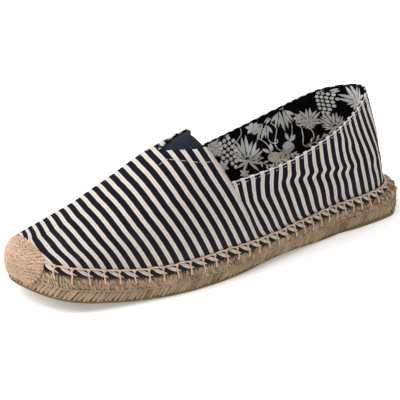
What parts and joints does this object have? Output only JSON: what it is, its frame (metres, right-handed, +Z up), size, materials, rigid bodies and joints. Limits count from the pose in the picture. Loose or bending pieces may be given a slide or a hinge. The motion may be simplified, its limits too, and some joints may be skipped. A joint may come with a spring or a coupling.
{
  "type": "espadrille",
  "caption": "Left slip-on espadrille: striped canvas upper with an elastic V gusset, stitched to a plaited jute sole with a thin rubber tread.",
  "frame": {"origin": "on the floor, under the middle of the shoe's box", "axes": "+Z up, -Y from heel to toe, +X towards the wearer's left, the outer side of this left shoe"},
  "size_m": [0.0913, 0.2697, 0.0795],
  "materials": {
    "striped_canvas": "woven cotton canvas, navy and cream stripes",
    "printed_lining": "cotton printed with pale vine leaves and grapes on black",
    "elastic_web": "ribbed slate elastic web",
    "jute": "plaited natural jute, matt and hairy",
    "cap_yarn": "peach cotton yarn, densely stitched",
    "seam_thread": "peach waxed thread",
    "insole_cloth": "plain natural cloth",
    "rubber": "matt olive-brown moulded rubber"
  },
  "bodies": {
    "root": {"outsole": "rubber", "jute_sole": "jute", "insole": "insole_cloth", "upper": "striped_canvas", "elastic_gusset": "elastic_web", "toe_cap": "cap_yarn"}
  },
  "joints": []
}
